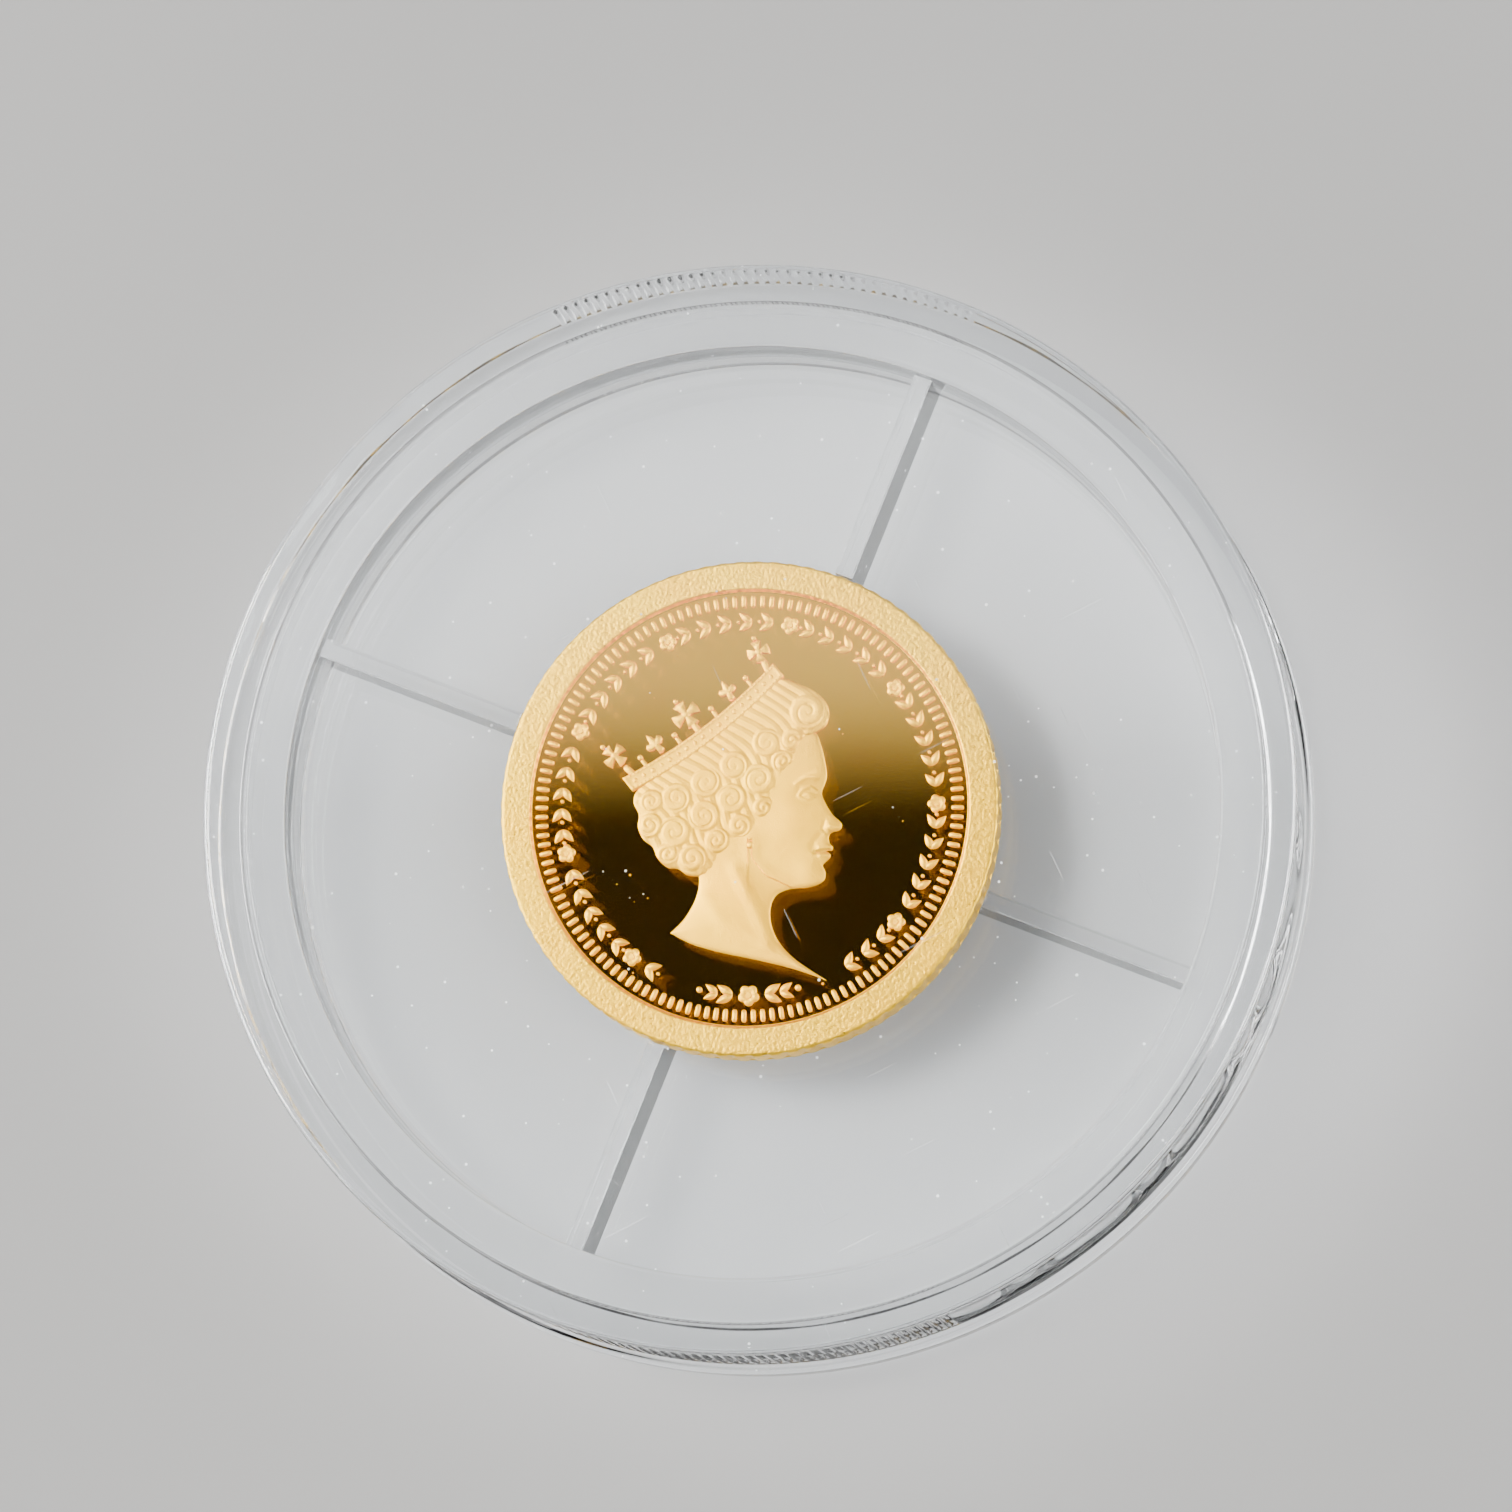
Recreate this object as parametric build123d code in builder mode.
from build123d import *
import os

# Clear two-part coin capsule with one small gold coin, lying flat with its lid up.
# Millimetres, +Z up. The origin is on the capsule's axis, on the flat underside of the base.
# +Y points to the top of the coin's design.

# Coin
coin_radius = 6.75
coin_thickness = 1.0
coin_rim_width = 0.8
coin_field_depth = 0.12
coin_edge_bevel = 0.08
reed_count = 88
reed_radius = 0.16
reed_depth = 0.06

# Plates and cavity
floor_thickness = 1.2
cavity_height = 2.3
plate_thickness = 1.2
seat_gap = 0.05

# Base: a flange, a ring wall and four ribs that hold the coin by its edge
flange_radius = 15.0
flange_bottom_round = 0.5
flange_top_round = 0.15
ring_outer_radius = 13.85
ring_inner_radius = 12.65
ring_lead_in = 0.2
ring_top_round = 0.1
rib_count = 4
rib_first_angle = 68
rib_thickness = 0.5
rib_height = 1.75
rib_wall_overlap = 0.4
ledge_height = 1.03
ledge_reach = 0.9
coin_side_clearance = 0.06
coin_rest_gap = 0.02

# Lid: a plate with a skirt that slides over the ring wall
lid_radius = 14.75
skirt_fit_clearance = 0.05
lid_top_round = 0.2
skirt_bottom_round = 0.12
grip_arc = 46
grip_middle_angles = (88.5, 268.5)
flute_count = 40
flute_radius = 0.13
flute_depth = 0.06

# Derived heights and radii
ring_top = floor_thickness + cavity_height - seat_gap
plate_bottom = floor_thickness + cavity_height
total_height = plate_bottom + plate_thickness
skirt_bottom = floor_thickness + seat_gap
skirt_inner_radius = ring_outer_radius + skirt_fit_clearance
pocket_radius = coin_radius + coin_side_clearance
coin_bottom = floor_thickness + ledge_height + coin_rest_gap
flute_pitch_angle = grip_arc / flute_count
overshoot = 1.0

os.makedirs("parts", exist_ok=True)


# Capsule base
with BuildPart() as capsule_base:
    with BuildSketch(Plane.XY):
        Circle(flange_radius)
    extrude(amount=floor_thickness)
    fillet(capsule_base.edges().group_by(Axis.Z)[0], flange_bottom_round)
    fillet(capsule_base.edges().group_by(Axis.Z)[-1], flange_top_round)

    with BuildSketch(Plane.XY.offset(floor_thickness)):
        Circle(ring_outer_radius)
        Circle(ring_inner_radius, mode=Mode.SUBTRACT)
    extrude(amount=ring_top - floor_thickness)
    ring_top_edges = capsule_base.edges().group_by(Axis.Z)[-1].sort_by(SortBy.RADIUS)
    chamfer(ring_top_edges[-1], ring_lead_in)
    inner_top_edge = capsule_base.edges().group_by(Axis.Z)[-1].sort_by(SortBy.RADIUS)[0]
    fillet(inner_top_edge, ring_top_round)

    rib_length = ring_inner_radius + rib_wall_overlap - pocket_radius
    with BuildSketch(Plane.XY.offset(floor_thickness)):
        with PolarLocations(pocket_radius + rib_length / 2, rib_count, start_angle=rib_first_angle):
            Rectangle(rib_length, rib_thickness)
    extrude(amount=rib_height)

    with BuildSketch(Plane.XY.offset(floor_thickness)):
        with PolarLocations(pocket_radius, rib_count, start_angle=rib_first_angle):
            Rectangle(2 * ledge_reach, rib_thickness)
    extrude(amount=ledge_height)

capsule_base.part.label = "capsule_base"


# Capsule lid
with BuildPart() as capsule_lid:
    with BuildSketch(Plane.XY.offset(skirt_bottom)):
        Circle(lid_radius)
    extrude(amount=total_height - skirt_bottom)
    fillet(capsule_lid.edges().group_by(Axis.Z)[-1], lid_top_round)

    with BuildSketch(Plane.XY.offset(skirt_bottom)):
        Circle(skirt_inner_radius)
    extrude(amount=plate_bottom - skirt_bottom, mode=Mode.SUBTRACT)
    fillet(capsule_lid.edges().group_by(Axis.Z)[0], skirt_bottom_round)

    with BuildSketch(Plane.XY.offset(skirt_bottom - overshoot)):
        for middle in grip_middle_angles:
            first_flute = middle - grip_arc / 2 + flute_pitch_angle / 2
            with PolarLocations(
                lid_radius - flute_depth + flute_radius,
                flute_count,
                start_angle=first_flute,
                angular_range=grip_arc,
                endpoint=False,
            ):
                Circle(flute_radius)
    extrude(amount=total_height - lid_top_round - skirt_bottom + overshoot, mode=Mode.SUBTRACT)

capsule_lid.part.label = "capsule_lid"


# Coin, with a raised rim on both faces and a reeded edge
with BuildPart() as coin:
    with BuildSketch(Plane.XY.offset(coin_bottom)):
        Circle(coin_radius)
    extrude(amount=coin_thickness)
    chamfer(coin.edges().filter_by(GeomType.CIRCLE), coin_edge_bevel)

    for field_plane in (
        Plane.XY.offset(coin_bottom),
        Plane.XY.offset(coin_bottom + coin_thickness - coin_field_depth),
    ):
        with BuildSketch(field_plane):
            Circle(coin_radius - coin_rim_width)
        extrude(amount=coin_field_depth, mode=Mode.SUBTRACT)

    with BuildSketch(Plane.XY.offset(coin_bottom)):
        with PolarLocations(coin_radius - reed_depth + reed_radius, reed_count):
            Circle(reed_radius)
    extrude(amount=coin_thickness, mode=Mode.SUBTRACT)

coin.part.label = "coin"


export_step(capsule_base.part, "parts/capsule_base.step")
export_step(capsule_lid.part, "parts/capsule_lid.step")
export_step(coin.part, "parts/coin.step")
